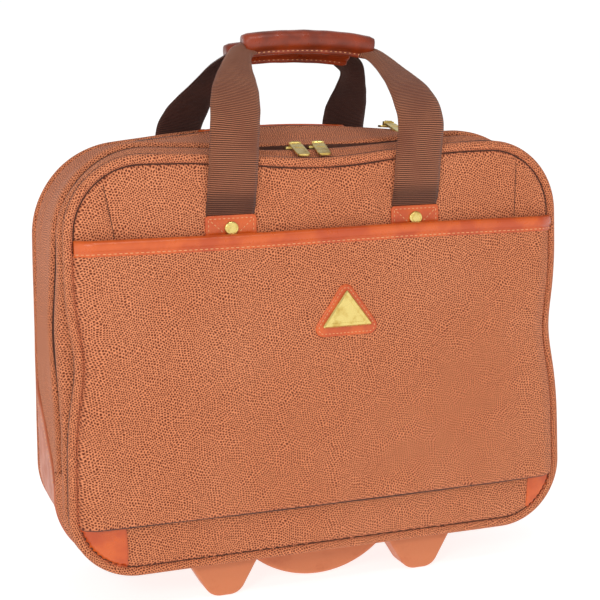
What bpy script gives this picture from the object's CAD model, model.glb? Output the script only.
import math

import bpy
import numpy as np
from mathutils import Matrix, Vector, noise


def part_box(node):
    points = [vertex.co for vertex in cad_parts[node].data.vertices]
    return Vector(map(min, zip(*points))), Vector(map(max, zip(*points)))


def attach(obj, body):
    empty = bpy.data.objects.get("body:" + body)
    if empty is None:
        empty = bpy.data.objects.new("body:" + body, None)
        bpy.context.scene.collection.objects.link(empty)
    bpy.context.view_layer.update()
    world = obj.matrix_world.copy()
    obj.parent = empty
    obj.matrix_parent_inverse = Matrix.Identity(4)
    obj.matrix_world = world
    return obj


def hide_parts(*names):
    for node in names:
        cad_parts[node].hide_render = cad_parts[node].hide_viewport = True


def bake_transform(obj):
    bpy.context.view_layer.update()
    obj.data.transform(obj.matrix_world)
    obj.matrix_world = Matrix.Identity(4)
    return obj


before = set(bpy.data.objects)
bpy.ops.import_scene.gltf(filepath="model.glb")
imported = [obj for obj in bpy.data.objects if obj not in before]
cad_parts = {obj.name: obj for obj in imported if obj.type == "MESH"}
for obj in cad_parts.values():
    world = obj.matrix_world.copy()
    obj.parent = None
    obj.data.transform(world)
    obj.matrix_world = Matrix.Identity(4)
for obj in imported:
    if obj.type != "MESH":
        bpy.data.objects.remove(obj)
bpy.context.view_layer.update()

# Shapes are worked out in millimetres as (x, depth, z), with depth counted back from
# the plane of the front panel. frame_points() takes them to the row frame in metres.
MM = 0.001
FRONT_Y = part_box("front_panel_upper")[0].y

# ---- body outline -------------------------------------------------------
SEAM_LOW = 40.0
HALF_LOW = 207.0
HALF_TOP = 199.5
SHOULDER = 355.0
FOLD_Z = 110.0
# The seam's shape at four depths: shoulder height, rise and dip of the top, and corner radii.
STATION_DEPTHS = (0.0, 40.0, 100.0, 150.0)
SHOULDERS = (355.0, 363.0, 350.0, 350.0)
RISES = (0.0, 0.0, 16.5, 16.5)
DIPS = (8.5, 8.5, -2.5, -2.5)
DIP_SPREADS = (70.0, 110.0, 80.0, 80.0)
TOP_RADII = (52.0, 64.0, 70.0, 70.0)
LOW_RADII = (46.0, 48.0, 54.0, 54.0)
BACK = 150.0
ZIP_D = 40.0
# Columns in half the outline: bottom, low corner, side below and above the fold, top corner, top.
SEGMENTS = (56, 30, 12, 90, 44, 80)
FOLD_COLUMN = sum(SEGMENTS[:3])
HALF_COUNT = sum(SEGMENTS)
COLUMNS = 2 * HALF_COUNT
LOW_CORNER = SEGMENTS[0] + SEGMENTS[1] // 2
TOP_CORNER = sum(SEGMENTS[:4]) + SEGMENTS[4] // 2
UV_COLUMN = HALF_COUNT // 2 + 40    # the side wall's UVs are measured along this column
TOP_Z = 300.0                       # the outline above this is its top corners and crown

# ---- stitching ----------------------------------------------------------
STITCH = 2.7
STITCH_GAP = 1.5
STITCH_R = 0.42
STITCH_SINK = 0.1

# ---- cloth and clearances -----------------------------------------------
PANEL_CLOTH = 1.6
POCKET_CLOTH = 1.5
WALL_CLOTH = 1.2
LEATHER_SHEET = 1.1
TAPE_CLOTH = 0.7
WELD_REACH = 0.01
WELL_GAP = 0.2
SLOT_GAP = 0.3


def smooth(a, b, t):
    """0 at a, 1 at b, easing between."""
    w = np.clip((np.asarray(t, float) - a) / (b - a), 0.0, 1.0)
    return w * w * (3 - 2 * w)


def bell(centre, width, t):
    """A smooth bump of height 1."""
    return np.exp(-(((np.asarray(t, float) - centre) / width) ** 2))


def frame_points(points):
    """Points in mm as (x, depth, z), taken to the shared frame in metres."""
    p = np.asarray(points, float).reshape(-1, 3) * MM
    p[:, 1] += FRONT_Y
    return p


def ripple(points, size, seed):
    """Smooth noise between -1 and 1 for each point, with waves about size mm long."""
    flat = np.asarray(points, float).reshape(-1, 3)
    shift = Vector((seed * 7.3, seed * 3.1, seed * 5.7))
    values = [noise.noise(Vector(p) / size + shift) for p in flat]
    return np.array(values).reshape(np.asarray(points).shape[:-1])


# ---- meshes -------------------------------------------------------------
def linked(name, data):
    """A new object in the scene."""
    obj = bpy.data.objects.new(name, data)
    bpy.context.scene.collection.objects.link(obj)
    return obj


def new_object(name, points, faces, uvs=None):
    """A mesh object from mm points, with a UV per face corner in mm."""
    mesh = bpy.data.meshes.new(name)
    mesh.from_pydata(frame_points(points).tolist(), [], faces)
    if uvs is not None:
        layer = mesh.uv_layers.new(name="real_mm")
        layer.data.foreach_set("uv", np.asarray(uvs, np.float32).ravel())
    mesh.polygons.foreach_set("use_smooth", [True] * len(mesh.polygons))
    mesh.update()
    return linked(name, mesh)


def uv_grid(u, v):
    """UVs of a grid, from the values across it and along it."""
    return np.stack(np.broadcast_arrays(u, v), axis=-1)


def grid_parts(points, uv, closed=False, keep=None, flip=False):
    """Vertices, faces and corner UVs of a grid of (rows, columns) points."""
    points, uv = np.asarray(points, float), np.asarray(uv, float)
    rows, columns = points.shape[:2]
    spans = columns if closed else columns - 1
    index = np.arange(rows * columns).reshape(rows, columns)
    faces, corners = [], []
    for i in range(rows - 1):
        for j in range(spans):
            if keep is not None and not keep[i, j]:
                continue
            k = (j + 1) % columns
            quad = [(i, j, j), (i + 1, j, j), (i + 1, k, j + 1), (i, k, j + 1)]
            if flip:
                quad.reverse()
            faces.append([int(index[a, b]) for a, b, _ in quad])
            corners.extend(uv[a, c] for a, _, c in quad)
    used = sorted({v for f in faces for v in f})
    renumber = {v: n for n, v in enumerate(used)}
    faces = [[renumber[v] for v in f] for f in faces]
    return points.reshape(-1, 3)[used], faces, corners


def grid_object(name, points, uv, **options):
    """One object from a grid. The options are those of grid_parts."""
    return new_object(name, *grid_parts(points, uv, **options))


def join_parts(name, parts):
    """One object from several (points, faces, uvs)."""
    points, faces, corners = [], [], []
    for p, f, c in parts:
        base = sum(len(q) for q in points)
        points.append(np.asarray(p, float).reshape(-1, 3))
        faces.extend([[v + base for v in face] for face in f])
        corners.extend(c)
    return new_object(name, np.concatenate(points), faces, corners)


def apply_modifiers(obj):
    """Makes the modifiers' result the object's own mesh."""
    graph = bpy.context.evaluated_depsgraph_get()
    graph.update()
    final = bpy.data.meshes.new_from_object(obj.evaluated_get(graph))
    obj.modifiers.clear()
    obj.data = final
    final.polygons.foreach_set("use_smooth", [True] * len(final.polygons))
    return obj


def thicken(obj, thickness, even=True):
    """Gives a sheet its cloth thickness, on the side that its face normals point away from."""
    shell = obj.modifiers.new("cloth", "SOLIDIFY")
    shell.thickness = thickness * MM
    shell.offset = -1.0
    shell.use_even_offset = even
    return apply_modifiers(obj)


def lengths_along(points, closed=False):
    """Running length in mm at each point of a line."""
    p = np.asarray(points, float)
    steps = np.linalg.norm(np.diff(p, axis=0), axis=1)
    total = np.concatenate([[0.0], np.cumsum(steps)])
    if closed:
        total = np.append(total, total[-1] + np.linalg.norm(p[0] - p[-1]))
    return total


def points_at(line, total, at):
    """Points on a line at given running lengths."""
    return np.stack([np.interp(at, total, line[:, k]) for k in range(line.shape[1])], axis=-1)


def resample(points, step=None, count=None):
    """The same line with evenly spaced points."""
    p = np.asarray(points, float)
    total = lengths_along(p)
    if count is None:
        count = max(2, int(round(total[-1] / step)) + 1)
    return points_at(p, total, np.linspace(0, total[-1], count))


def spline(points, count):
    """A smooth line through a few points (uniform Catmull-Rom)."""
    p = np.asarray(points, float)
    p = np.vstack([2 * p[0] - p[1], p, 2 * p[-1] - p[-2]])
    line = []
    for a, b, c, d in zip(p, p[1:], p[2:], p[3:]):
        for t in np.linspace(0, 1, 24, endpoint=False):
            line.append(0.5 * ((2 * b) + (c - a) * t + (2 * a - 5 * b + 4 * c - d) * t ** 2
                               + (3 * b - a - 3 * c + d) * t ** 3))
    line.append(p[-2])
    return resample(line, count=count)


def unit(v):
    """Vectors brought to length 1."""
    v = np.asarray(v, float)
    return v / np.maximum(np.linalg.norm(v, axis=-1, keepdims=True), 1e-9)


def cap_ends(faces, corners, uv, winding=1):
    """Closes both ends of a tube of rings. winding is the turn of its first end."""
    count = uv.shape[1] - 1
    for row, order in ((0, winding), (len(uv) - 1, -winding)):
        faces.append([row * count + k for k in range(count)][::order])
        corners.extend([uv[row, k] for k in range(count)][::order])


def sweep_parts(path, across, section, closed=False):
    """Sweeps a closed section along a path. section is (rows, n, 2): offsets across and out."""
    path = np.asarray(path, float)
    rows = len(path)
    if closed:
        tangent = unit(np.roll(path, -1, 0) - np.roll(path, 1, 0))
    else:
        tangent = unit(np.gradient(path, axis=0))
    across = np.broadcast_to(np.asarray(across, float), path.shape)
    across = unit(across - (across * tangent).sum(1, keepdims=True) * tangent)
    out = np.cross(tangent, across)
    section = np.broadcast_to(section, (rows,) + np.shape(section)[-2:])
    points = (path[:, None] + section[..., :1] * across[:, None] + section[..., 1:] * out[:, None])
    run = lengths_along(path, closed)
    girth = lengths_along(section[0], closed=True)
    if closed:
        points = np.concatenate([points, points[:1]])
    uv = uv_grid(girth, run[:len(points), None])
    p, f, c = grid_parts(points, uv, closed=True)
    if not closed:
        cap_ends(f, c, uv)
    return p, f, c


def closed_sweep(name, path, across, section):
    """One object swept round a closed line, with its two ends welded."""
    obj = join_parts(name, [sweep_parts(path, across, section, closed=True)])
    weld = obj.modifiers.new("weld", "WELD")
    weld.merge_threshold = WELD_REACH * MM
    return apply_modifiers(obj)


def circle_section(radius, count, squash=1.0):
    """A round section, or an oval one stretched outward by squash."""
    a = np.linspace(0, 2 * math.pi, count, endpoint=False)
    return np.stack([np.cos(a) * radius, np.sin(a) * radius * squash], axis=1)


def strip_section(width, thick, count):
    """A flat strap's closed section with rounded selvedges."""
    side = np.linspace(-1, 1, count // 2)
    top = np.stack([side * width / 2, thick / 2 * np.sqrt(np.clip(1 - side ** 16, 0.05, 1))], 1)
    low = np.stack([side[::-1] * width / 2, -top[::-1, 1]], 1)
    return np.concatenate([top, low])


def stitch_parts(line, normal, length=STITCH, gap=STITCH_GAP, radius=STITCH_R):
    """Thread stitches laid end to end along a line, each a short rounded bead."""
    line = np.asarray(line, float)
    total = lengths_along(line)
    normal = np.broadcast_to(np.asarray(normal, float), line.shape)
    count = int(total[-1] // (length + gap))
    if count < 1:
        return []
    pitch = total[-1] / count
    share = length / (length + gap)
    ring = np.linspace(0, 2 * math.pi, 6, endpoint=False)
    parts = []
    for n in range(count):
        at = (n + np.linspace(0.5 - share / 2, 0.5 + share / 2, 5)) * pitch
        spine = points_at(line, total, at)
        up = unit(points_at(normal, total, at[2]))
        along = unit(spine[-1] - spine[0])
        side = np.cross(along, up)
        size = radius * np.array([0.45, 0.9, 1.0, 0.9, 0.45])
        lift = radius * np.array([-0.6, 0.25, 0.45, 0.25, -0.6]) - STITCH_SINK
        rings = (spine + lift[:, None] * up)[:, None] + size[:, None, None] * (
            np.cos(ring)[None, :, None] * side + np.sin(ring)[None, :, None] * up)
        uv = uv_grid(np.arange(7) * radius, at[:, None])
        p, f, c = grid_parts(rings, uv, closed=True)
        cap_ends(f, c, uv, -1)
        parts.append((p, f, c))
    return parts


# ---- the body's skin ----------------------------------------------------
def set_back(loop, depth):
    """(x, z) points at one depth, or (x, z) directions for 0, as (x, depth, z)."""
    return np.column_stack([loop[:, 0], np.full(len(loop), depth), loop[:, 1]])


def side_x(z):
    """Half width of the seam at a height on its straight sides."""
    return HALF_LOW + (HALF_TOP - HALF_LOW) / (SHOULDER - SEAM_LOW) * (z - SEAM_LOW)


def half_outline(shoulder, rise, dip, spread, radius, low_radius):
    """The seam from the bottom centre round the right side to the top centre, as (x, z)."""
    def top_z(x):
        return shoulder + rise * (1 - (x / HALF_TOP) ** 2) - dip * np.exp(-(x / spread) ** 2)

    low_z = SEAM_LOW + low_radius
    low_x = side_x(low_z) - low_radius
    xs = np.linspace(0, 230, 4601)
    curve = np.stack([xs, top_z(xs)], axis=1)
    corner_z = shoulder - radius
    for _ in range(30):
        corner_x = side_x(corner_z) - radius
        gaps = np.hypot(curve[:, 0] - corner_x, curve[:, 1] - corner_z)
        corner_z += gaps.min() - radius
    touch = curve[gaps.argmin()]
    last = math.atan2(touch[1] - corner_z, touch[0] - corner_x)

    def run(n, a, b):
        return np.linspace(a, b, n, endpoint=False)

    low_angle = run(SEGMENTS[1], -math.pi / 2, 0)
    top_angle = run(SEGMENTS[4], 0, last)
    bottom = np.stack([run(SEGMENTS[0], 0, low_x), np.full(SEGMENTS[0], SEAM_LOW)], 1)
    low_arc = np.stack([low_x + low_radius * np.cos(low_angle),
                        low_z + low_radius * np.sin(low_angle)], 1)
    under = run(SEGMENTS[2], low_z, FOLD_Z)
    over = run(SEGMENTS[3], FOLD_Z, corner_z)
    top_arc = np.stack([corner_x + radius * np.cos(top_angle),
                        corner_z + radius * np.sin(top_angle)], 1)
    top_x = np.linspace(touch[0], 0, SEGMENTS[5] + 1)
    pieces = [bottom, low_arc, np.stack([side_x(under), under], 1), np.stack([side_x(over), over], 1),
              top_arc, np.stack([top_x, top_z(top_x)], 1)]
    return np.concatenate(pieces)


def at_depth(values, depth):
    """A station value, eased between its four depths."""
    d = np.asarray(STATION_DEPTHS)
    k = int(np.clip(np.searchsorted(d, depth) - 1, 0, len(d) - 2))
    w = float(smooth(d[k], d[k + 1], depth))
    return values[k] * (1 - w) + values[k + 1] * w


def ring_at(depth):
    """The closed seam outline at one depth, and its outward normals."""
    tables = (SHOULDERS, RISES, DIPS, DIP_SPREADS, TOP_RADII, LOW_RADII)
    right = half_outline(*(at_depth(t, depth) for t in tables))
    ring = np.concatenate([right[:-1], right[::-1][:-1] * (-1, 1)])
    tangent = unit(np.roll(ring, -1, 0) - np.roll(ring, 1, 0))
    for _ in range(6):
        tangent = unit(np.roll(tangent, 1, 0) + 2 * tangent + np.roll(tangent, -1, 0))
    return ring, np.stack([tangent[:, 1], -tangent[:, 0]], axis=1)


WAIST = 7.0
WAIST_Z = 203.0
WAIST_SPREAD = 38.0
# How far the side wall stands out (SKIN_G) at each depth (SKIN_D): a valley behind the front
# bead, a crest, the valley that the zip lies in, and the rear wall falling off to the back.
SKIN_D = (8.0, 10.0, 12.0, 13.5, 15.0, 17.0, 20.0, 24.0, 28.0, 32.0, 35.0, 38.0,
          41.5, 43.5, 46.0, 50.0, 62.0, 100.0, 125.0, 135.0, 140.0, 142.0)
SKIN_G = (0.9, 1.3, 3.0, 6.0, 8.8, 10.2, 10.4, 9.8, 8.4, 6.6, 5.8, 5.4,
          5.8, 8.4, 10.2, 10.8, 9.6, 8.2, 8.2, 7.6, 6.0, 4.2)


def skin_offset(depth, ring, normal):
    """How far the side wall stands outside the seam at one depth."""
    offset = np.full(len(ring), np.interp(depth, SKIN_D, SKIN_G))
    offset = offset - 3.6 * bell(20, 7, depth) * np.clip(normal[:, 1], 0, 1) ** 2
    side = np.abs(normal[:, 0]) ** 2
    z = ring[:, 1]
    swell = 4.5 * bell(225, 55, z) * float(smooth(8, 34, depth)) * float(1 - smooth(44, 80, depth))
    swell = swell + (2.2 * bell(185, 60, z) * float(smooth(44, 90, depth))
                     * float(1 - smooth(125, 142, depth)))
    waist = WAIST * bell(WAIST_Z, WAIST_SPREAD, z) * float(1 - smooth(6, 26, depth))
    return offset + side * (swell - waist)


def wall_ring(depth, extra=0.0):
    """The side wall's closed line at one depth as (x, depth, z)."""
    ring, normal = ring_at(depth)
    moved = ring + normal * (skin_offset(depth, ring, normal) + extra)[:, None]
    return set_back(moved, depth), normal


def crown_share(width):
    """1 at the middle of the bag's top, falling off to each side, for every column."""
    ring = ring_at(ZIP_D)[0]
    return bell(0, width, ring[:, 0]) * smooth(300, 340, ring[:, 1])


def seam_ring(depth, offset):
    """A line round the seam at one depth, drawn in with the waist."""
    ring, normal = ring_at(depth)
    waist = WAIST * bell(WAIST_Z, WAIST_SPREAD, ring[:, 1]) * np.abs(normal[:, 0]) ** 2
    front = float(1 - smooth(30, 100, depth))
    moved = ring + normal * (offset - waist * front)[:, None]
    return set_back(moved, depth), normal


def wall_grid(rows, wrinkle=0.6, seed=1, calm=()):
    """Points, UVs and outward normals of a band of side wall. rows are (depth, extra offset)."""
    lines, normals = zip(*(wall_ring(d, e) for d, e in rows))
    points, normals = np.array(lines), np.array(normals)
    depth = points[..., 1]
    quiet = smooth(9, 18, depth) * (1 - smooth(132, 141, depth)) * smooth(33, 45, points[..., 2])
    for line in calm:
        quiet = quiet * (1 - bell(line, 5, depth))
    push = ripple(points, 46, seed) * wrinkle + ripple(points, 17, seed + 5) * wrinkle * 0.25
    points[..., 0] += normals[..., 0] * push * quiet
    points[..., 2] += normals[..., 1] * push * quiet
    round_wall = lengths_along(points[len(rows) // 2], closed=True)
    over_wall = lengths_along(points[:, UV_COLUMN])
    return points, uv_grid(round_wall, over_wall[:, None]), normals


def column_mask(first, last, rows):
    """Which faces of a wall band lie between two columns."""
    keep = np.zeros((rows - 1, COLUMNS), bool)
    keep[:, first:last] = True
    return keep


FLAP_COLUMNS = (FOLD_COLUMN, COLUMNS - FOLD_COLUMN)


def over_flap(obj):
    """Cloth that bends with the flap from the fold upward."""
    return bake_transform(obj)


# ---- materials ----------------------------------------------------------
def srgb(*values):
    """Linear colour from 0-255 screen values."""
    linear = [(v / 255 / 12.92) if v / 255 <= 0.04045 else ((v / 255 + 0.055) / 1.055) ** 2.4
              for v in values]
    return (*linear, 1.0)


class Nodes:
    """A short way to write a node material."""

    def __init__(self, name):
        self.material = bpy.data.materials.new(name)
        self.material.use_nodes = True
        self.tree = self.material.node_tree
        self.shader = self.tree.nodes["Principled BSDF"]

    def add(self, kind, inputs=None, **settings):
        node = self.tree.nodes.new(kind)
        for key, value in settings.items():
            setattr(node, key, value)
        for key, value in (inputs or {}).items():
            self.put(node.inputs[key], value)
        return node

    def put(self, socket, value):
        if isinstance(value, bpy.types.NodeSocket):
            self.tree.links.new(value, socket)
        else:
            socket.default_value = value

    def set(self, **values):
        for key, value in values.items():
            self.put(self.shader.inputs[key.replace("_", " ")], value)

    def math(self, operation, a, b=0.0, c=0.0):
        node = self.add("ShaderNodeMath", operation=operation)
        for socket, value in zip(node.inputs, (a, b, c)):
            self.put(socket, value)
        return node.outputs[0]

    def step(self, value, low, high, to_low=0.0, to_high=1.0):
        names = ("Value", "From Min", "From Max", "To Min", "To Max")
        return self.add("ShaderNodeMapRange", dict(zip(names, (value, low, high, to_low, to_high))),
                        interpolation_type="SMOOTHSTEP").outputs["Result"]

    def mix(self, factor, a, b):
        node = self.add("ShaderNodeMix", data_type="RGBA")
        self.put(node.inputs[0], factor)
        self.put(node.inputs[6], a)
        self.put(node.inputs[7], b)
        return node.outputs[2]

    def noise(self, vector, scale, detail, rough=0.5, dims="3D"):
        return self.add("ShaderNodeTexNoise", {"Vector": vector, "Scale": scale, "Detail": detail,
                                               "Roughness": rough}, noise_dimensions=dims).outputs["Fac"]

    def uv(self):
        return self.add("ShaderNodeUVMap", uv_map="real_mm").outputs["UV"]

    def place(self):
        return self.add("ShaderNodeTexCoord").outputs["Object"]

    def bump(self, height, strength, distance):
        inputs = {"Height": height, "Strength": strength, "Distance": distance}
        return self.add("ShaderNodeBump", inputs).outputs["Normal"]


PIT_PITCH = 2.15
RIB_PITCH = 1.6


def dimpled_suede(name, base, worn, shade, pit):
    """Faux suede pressed with rows of small soft pits, a little irregular, paler where it is rubbed."""
    n = Nodes(name)
    uv, place = n.uv(), n.place()
    spot = uv
    for scale, reach in ((0.045, 6.0), (0.35, 1.3)):
        drift = n.add("ShaderNodeTexNoise", {"Vector": uv, "Scale": scale, "Detail": 1.0},
                      noise_dimensions="2D")
        spot = n.add("ShaderNodeVectorMath", {0: drift.outputs["Color"], 1: (reach, reach, 0.0), 2: spot},
                     operation="MULTIPLY_ADD").outputs[0]
    total = 0.0
    for turn in (0.0, 60.0, 120.0):
        a, rate = math.radians(turn + 12.0), 4 * math.pi / (math.sqrt(3) * PIT_PITCH)
        wave = n.add("ShaderNodeVectorMath", {0: spot, 1: (math.cos(a) * rate, math.sin(a) * rate, 0.0)},
                     operation="DOT_PRODUCT").outputs["Value"]
        total = n.math("ADD", n.math("COSINE", wave), total)
    uneven = n.noise(uv, 0.5, 2.0, dims="2D")
    dot = n.step(n.math("MULTIPLY_ADD", uneven, 1.6, n.math("SUBTRACT", total, 0.8)), -0.2, 0.75)
    fibre = n.noise(uv, 3.2, 4.0, 0.65, dims="2D")
    broad = n.step(n.noise(place, 9.0, 3.0), 0.36, 0.7, 0.0, 0.55)
    colour = n.mix(broad, base, worn)
    colour = n.mix(n.step(fibre, 0.35, 0.7, 0.0, 0.3), colour, worn)
    colour = n.mix(n.step(n.noise(uv, 0.55, 3.0, 0.6, dims="2D"), 0.44, 0.64, 0.0, 0.6), colour, shade)
    n.set(Base_Color=n.mix(n.math("MULTIPLY", dot, 0.95), colour, pit),
          Roughness=n.step(fibre, 0.2, 0.8, 0.82, 0.96))
    height = n.math("MULTIPLY_ADD", fibre, 0.16, n.math("SUBTRACT", 1.0, dot))
    n.set(Normal=n.bump(height, 0.5, 0.0004))
    n.set(Sheen_Weight=0.05, Sheen_Roughness=0.6, Specular_IOR_Level=0.12)
    return n.material


def leather(name, base, edge, gloss):
    """Smooth finished leather with fine grain, soft creases and slightly uneven dye."""
    n = Nodes(name)
    place = n.place()
    grain = n.add("ShaderNodeTexVoronoi", {"Vector": place, "Scale": 1500.0}, feature="F1")
    crease = n.noise(place, 90.0, 5.0, 0.6)
    dye = n.step(n.noise(place, 45.0, 3.0), 0.35, 0.68)
    colour = n.mix(dye, base, edge)
    colour = n.mix(n.step(crease, 0.52, 0.72, 0.0, 0.25), colour, edge)
    n.set(Base_Color=colour, Roughness=n.step(crease, 0.3, 0.7, gloss - 0.07, gloss + 0.12))
    height = n.math("MULTIPLY_ADD", crease, 3.0, grain.outputs["Distance"])
    n.set(Normal=n.bump(height, 0.22, 0.0004))
    n.set(Specular_IOR_Level=0.5, Coat_Weight=0.12, Coat_Roughness=0.35)
    return n.material


def webbing_cloth(name, base, thread, worn):
    """Ribbed nylon webbing: threads across each rib, paler on its crests, darker near the tabs."""
    n = Nodes(name)
    uv = n.uv()
    parts = n.add("ShaderNodeSeparateXYZ", {0: uv})
    across, along = parts.outputs[0], parts.outputs[1]
    rib = n.math("SINE", n.math("MULTIPLY", along, 2 * math.pi / RIB_PITCH))
    shifted = n.math("MULTIPLY_ADD", n.math("FLOOR", n.math("DIVIDE", along, RIB_PITCH)), 0.45, across)
    twist = n.math("SINE", n.math("MULTIPLY", shifted, 2 * math.pi / 0.9))
    fuzz = n.noise(uv, 2.5, 3.0, dims="2D")
    light = n.math("MULTIPLY_ADD", twist, 0.2,
                   n.math("MULTIPLY_ADD", rib, 0.5, n.math("MULTIPLY", fuzz, 0.6)))
    colour = n.mix(n.step(light, 0.0, 0.95), base, thread)
    tired = n.noise(n.place(), 30.0, 3.0)
    colour = n.mix(n.step(tired, 0.4, 0.7, 0.0, 0.5), colour, worn)
    low = n.step(along, 26.0, 40.0, 0.55, 0.0)
    colour = n.mix(low, colour, tuple(v * 0.35 for v in base[:3]) + (1.0,))
    n.set(Base_Color=colour, Roughness=n.step(fuzz, 0.2, 0.8, 0.7, 0.92))
    n.set(Normal=n.bump(n.math("MULTIPLY_ADD", rib, 0.5, twist), 0.6, 0.0002))
    n.set(Sheen_Weight=0.15, Specular_IOR_Level=0.3)
    return n.material


def woven(name, base, light, pitch, gloss=0.8):
    """Plain-weave cloth on real millimetre UVs."""
    n = Nodes(name)
    parts = n.add("ShaderNodeSeparateXYZ", {0: n.uv()})
    turns = 2 * math.pi / pitch
    warp = n.math("SINE", n.math("MULTIPLY", parts.outputs[0], turns))
    weft = n.math("SINE", n.math("MULTIPLY", parts.outputs[1], turns))
    weave = n.math("MULTIPLY", warp, weft)
    slub = n.noise(n.place(), 260.0, 3.0)
    colour = n.mix(n.step(n.math("MULTIPLY_ADD", weave, 0.3, slub), 0.2, 0.9), base, light)
    n.set(Base_Color=colour, Roughness=n.step(slub, 0.2, 0.8, gloss - 0.1, gloss + 0.1))
    n.set(Normal=n.bump(weave, 0.4, 0.0001), Specular_IOR_Level=0.35, Sheen_Weight=0.1)
    return n.material


def thread(name, base, light):
    """Twisted sewing thread."""
    n = Nodes(name)
    parts = n.add("ShaderNodeSeparateXYZ", {0: n.uv()})
    ply = n.math("SINE", n.math("MULTIPLY_ADD", parts.outputs[1], 7.0,
                                n.math("MULTIPLY", parts.outputs[0], 3.0)))
    n.set(Base_Color=n.mix(n.step(ply, -0.8, 0.8), base, light), Roughness=0.6, Sheen_Weight=0.1)
    n.set(Normal=n.bump(ply, 0.3, 0.0001))
    return n.material


def moulded(name, base, scuff, gloss=0.45, grain=700.0):
    """Moulded plastic with a fine matt grain and faint scuffs."""
    n = Nodes(name)
    place = n.place()
    fine = n.noise(place, grain, 2.0)
    rub = n.step(n.noise(place, 38.0, 5.0, 0.7), 0.48, 0.75)
    n.set(Base_Color=n.mix(rub, base, scuff), Roughness=n.step(fine, 0.3, 0.7, gloss - 0.06, gloss + 0.14))
    n.set(Normal=n.bump(fine, 0.15, 0.0002), Specular_IOR_Level=0.45)
    return n.material


def metal(name, base, tarnish, gloss=0.22, stretch=(1, 1, 1)):
    """Polished or brushed metal with faint smears."""
    n = Nodes(name)
    place = n.add("ShaderNodeMapping", {"Vector": n.place(), "Scale": stretch}).outputs[0]
    smear = n.noise(place, 160.0, 4.0, 0.6)
    brush = n.noise(place, 900.0, 2.0)
    n.set(Base_Color=n.mix(n.step(smear, 0.45, 0.75), base, tarnish), Metallic=1.0)
    n.set(Roughness=n.step(smear, 0.3, 0.7, gloss, gloss + 0.16))
    n.set(Normal=n.bump(brush, 0.08, 0.0001))
    return n.material


SUEDE = dimpled_suede("dimpled_suede", srgb(219, 133, 90), srgb(228, 147, 105),
                      srgb(160, 92, 62), srgb(96, 38, 20))
LEATHER = leather("trim_leather", srgb(212, 94, 32), srgb(190, 74, 24), 0.3)
GRIP_LEATHER = leather("grip_leather", srgb(150, 52, 10), srgb(112, 36, 6), 0.32)
GUARD = leather("guard_leather", srgb(196, 106, 66), srgb(182, 92, 54), 0.5)
STRAP = webbing_cloth("webbing", srgb(74, 32, 18), srgb(192, 122, 86), srgb(110, 56, 36))
STRAP_DARK = webbing_cloth("webbing_dark", srgb(46, 18, 12), srgb(104, 60, 44), srgb(58, 28, 20))
TAPE = woven("zip_tape", srgb(62, 30, 20), srgb(92, 52, 36), 0.9)
COIL = moulded("zip_coil", srgb(58, 32, 24), srgb(78, 48, 36), 0.4)
LINING = woven("lining", srgb(120, 78, 46), srgb(164, 116, 74), 1.1, 0.65)
THREAD = thread("thread", srgb(220, 144, 90), srgb(238, 176, 124))
BRASS = metal("brass", srgb(232, 208, 128), srgb(206, 172, 88))
TAN_PLASTIC = moulded("tan_plastic", srgb(206, 120, 76), srgb(194, 106, 64))
BROWN_PLASTIC = moulded("brown_plastic", srgb(62, 38, 30), srgb(84, 56, 44))
ALUMINIUM = metal("aluminium", srgb(196, 196, 198), srgb(170, 170, 174), 0.3, (1, 1, 0.05))
STEEL = metal("steel", srgb(170, 170, 172), srgb(130, 128, 126), 0.25)
HUB = moulded("hub_plastic", srgb(44, 40, 38), srgb(70, 64, 60))
TYRE = moulded("tyre", srgb(34, 32, 31), srgb(66, 62, 58), 0.75, 1200.0)
BOARD = woven("board_cover", srgb(70, 46, 32), srgb(96, 66, 46), 1.4)

CAD_LOOKS = {
    "badge_plate": BRASS, "front_rivets": BRASS, "rear_rivets": BRASS,
    "slider_left": BRASS, "slider_right": BRASS, "rear_slider": BRASS,
    "pull_left": BRASS, "pull_right": BRASS, "rear_pull": BRASS,
    "skid": TAN_PLASTIC, "foot_left": TAN_PLASTIC, "foot_right": TAN_PLASTIC,
    "wheel_housing_left": BROWN_PLASTIC, "wheel_housing_right": BROWN_PLASTIC,
    "trolley_bezel": BROWN_PLASTIC, "trolley_base": BROWN_PLASTIC, "mid_collars": BROWN_PLASTIC,
    "trolley_grip": BROWN_PLASTIC, "release_button": HUB,
    "outer_tubes": ALUMINIUM, "mid_tubes": ALUMINIUM, "inner_tubes": ALUMINIUM,
    "axles": STEEL, "bearings_left": STEEL, "bearings_right": STEEL, "base_screws": STEEL,
    "hub_left": HUB, "hub_right": HUB, "tyre_left": TYRE, "tyre_right": TYRE,
    "base_board": BOARD, "frame_board": BOARD,
}


def dress_cad():
    """Gives each rigid CAD node its material."""
    for name, material in CAD_LOOKS.items():
        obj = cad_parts[name]
        if not obj.material_slots:
            obj.data.materials.append(None)
        for part in obj.material_slots:
            part.link = "OBJECT"
            part.material = material


def dress(obj, material):
    """Sets an object's material and the slot it stands for."""
    obj.data.materials.clear()
    obj.data.materials.append(material)
    return obj


def stitches(name, parts, body):
    """One object of sewing thread that moves with a body."""
    obj = join_parts(name, parts)
    dress(obj, THREAD)
    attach(obj, body)


# ---- side walls, panels and piping --------------------------------------
def gathered(count):
    """Numbers from 0 to 1 that lie closer together near both ends."""
    t = np.linspace(0, 1, count)
    return 0.35 * t + 0.65 * 0.5 * (1 - np.cos(math.pi * t))


def at_shares(line, shares):
    """Points at given shares of a line's length."""
    line = np.asarray(line, float)
    total = lengths_along(line)
    return points_at(line, total, shares * total[-1])


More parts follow.
